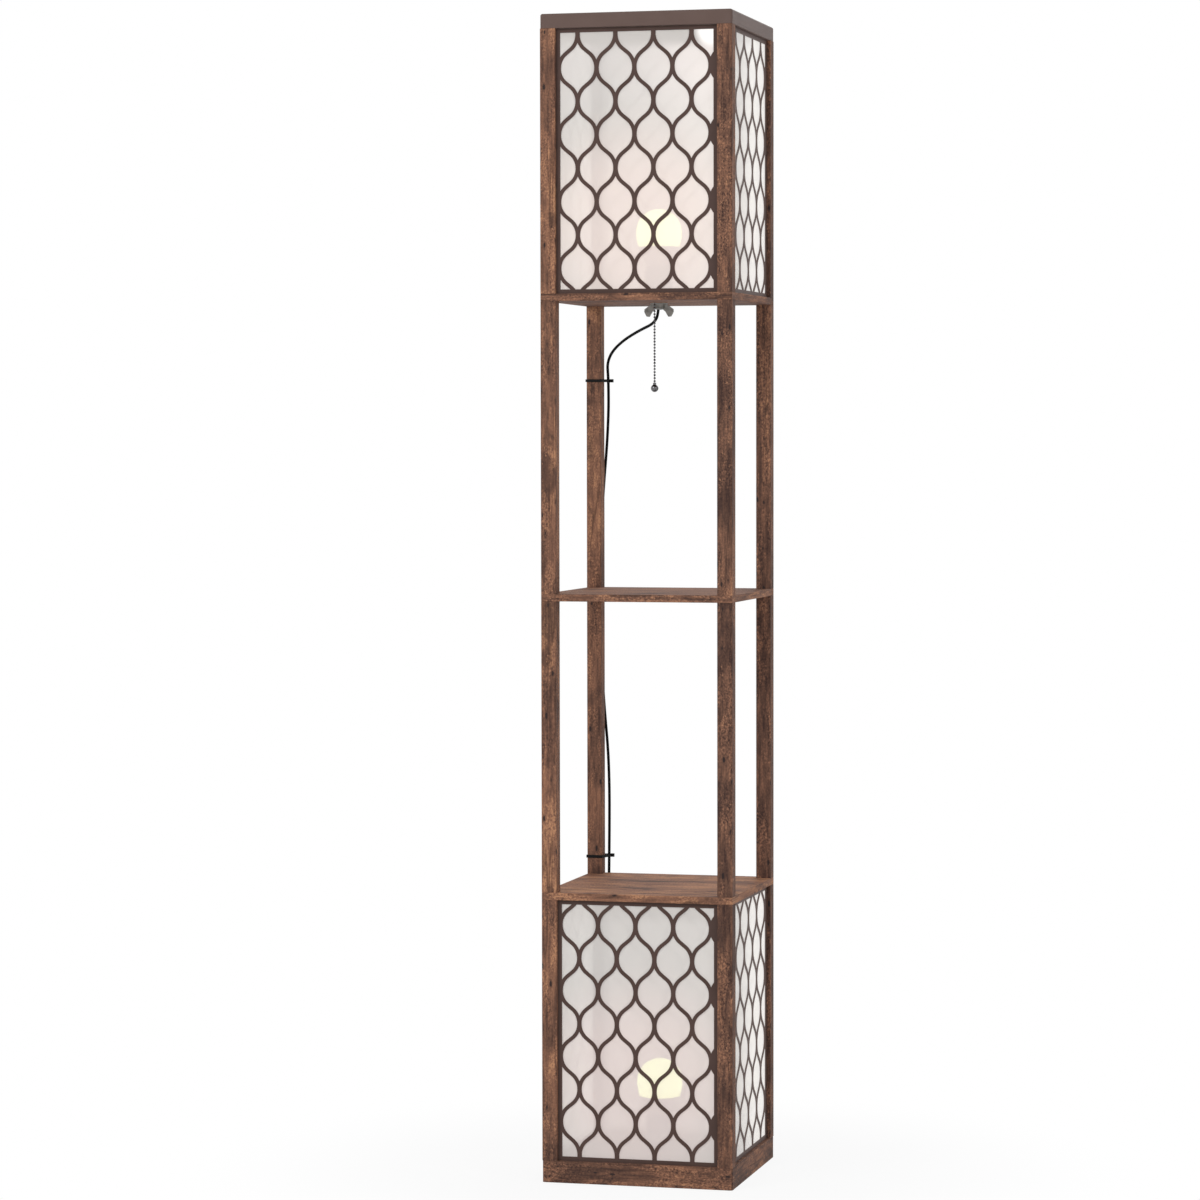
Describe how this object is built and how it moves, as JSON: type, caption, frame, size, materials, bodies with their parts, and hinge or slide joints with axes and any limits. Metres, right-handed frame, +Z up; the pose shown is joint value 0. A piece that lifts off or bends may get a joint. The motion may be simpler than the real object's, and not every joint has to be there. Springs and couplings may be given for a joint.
{
  "type": "shelf floor lamp",
  "caption": "Square tower floor lamp with open shelf bays between lower and upper lamp boxes of wood-print posts and ogee lattice panels, with a lift-off lid and a pull chain.",
  "frame": {"origin": "on the floor, at the middle of the square base", "axes": "+Z up the tower, -Y towards the front, +X to the right seen from the front"},
  "size_m": [0.2694, 0.3758, 1.6],
  "materials": {
    "wood_print": "wood-grain print on board, satin",
    "lid_board": "plain taupe brown, matte",
    "cover_board": "bare hardboard, matte",
    "steel": "zinc plated",
    "peg_wood": "bare hardwood",
    "lattice_sheet": "thin cut sheet, plain taupe brown",
    "diffuser_sheet": "milky translucent sheet",
    "black_plastic": "moulded, matte",
    "wing_grey": "die-cast metal, dull grey",
    "globe_milk": "milky globe, lit",
    "bulb_white": "glossy moulded",
    "chain_metal": "plated bead chain",
    "terminal_white": "moulded",
    "cord_black": "flexible sheath"
  },
  "bodies": {
    "tower": {"base_slab": "wood_print", "lower_shelf": "wood_print", "middle_shelf": "wood_print", "upper_shelf": "wood_print", "lower_lamp_post_front_left": "wood_print", "lower_lamp_post_front_right": "wood_print", "lower_lamp_post_back_left": "wood_print", "lower_lamp_post_back_right": "wood_print", "lower_bay_post_front_left": "wood_print", "lower_bay_post_front_right": "wood_print", "lower_bay_post_back_left": "wood_print", "lower_bay_post_back_right": "wood_print", "upper_bay_post_front_left": "wood_print", "upper_bay_post_front_right": "wood_print", "upper_bay_post_back_left": "wood_print", "upper_bay_post_back_right": "wood_print", "upper_lamp_post_front_left": "wood_print", "upper_lamp_post_front_right": "wood_print", "upper_lamp_post_back_left": "wood_print", "upper_lamp_post_back_right": "wood_print", "base_cover": "cover_board", "cover_screws": "steel", "joining_studs": "steel", "base_bolts": "steel", "lower_lock_nut": "steel", "holder_nipples": "steel", "upper_lattice_front": "lattice_sheet", "lower_lattice_front": "lattice_sheet", "upper_diffuser_front": "diffuser_sheet", "lower_diffuser_front": "diffuser_sheet", "upper_lattice_right": "lattice_sheet", "lower_lattice_right": "lattice_sheet", "upper_diffuser_right": "diffuser_sheet", "lower_diffuser_right": "diffuser_sheet", "upper_lattice_back": "lattice_sheet", "lower_lattice_back": "lattice_sheet", "upper_diffuser_back": "diffuser_sheet", "lower_diffuser_back": "diffuser_sheet", "upper_lattice_left": "lattice_sheet", "lower_lattice_left": "lattice_sheet", "upper_diffuser_left": "diffuser_sheet", "lower_diffuser_left": "diffuser_sheet", "upper_holder": "black_plastic", "lower_holder": "black_plastic", "cable_ties": "black_plastic", "strain_relief": "black_plastic", "plug": "black_plastic", "upper_wing_nut": "wing_grey", "upper_bulb_globe": "globe_milk", "lower_bulb_globe": "globe_milk", "upper_bulb_base": "bulb_white", "lower_bulb_base": "bulb_white", "terminal_block": "terminal_white", "link_lead": "cord_black", "mains_lead": "cord_black", "mains_coil": "cord_black"},
    "lid": {"lid": "lid_board", "lid_pegs": "peg_wood"},
    "pull": {"pull_chain": "chain_metal", "pull_ball": "chain_metal"}
  },
  "joints": [
    {"name": "lid_lift", "type": "slide", "parent": "tower", "child": "lid", "axis": [0, 0, 1], "range_m": [0, 0.12]},
    {"name": "chain_pull", "type": "slide", "parent": "tower", "child": "pull", "axis": [0, 0, -1], "range_m": [0, 0.01], "stiffness_N_per_m": 400, "springref_m": -0.001}
  ]
}
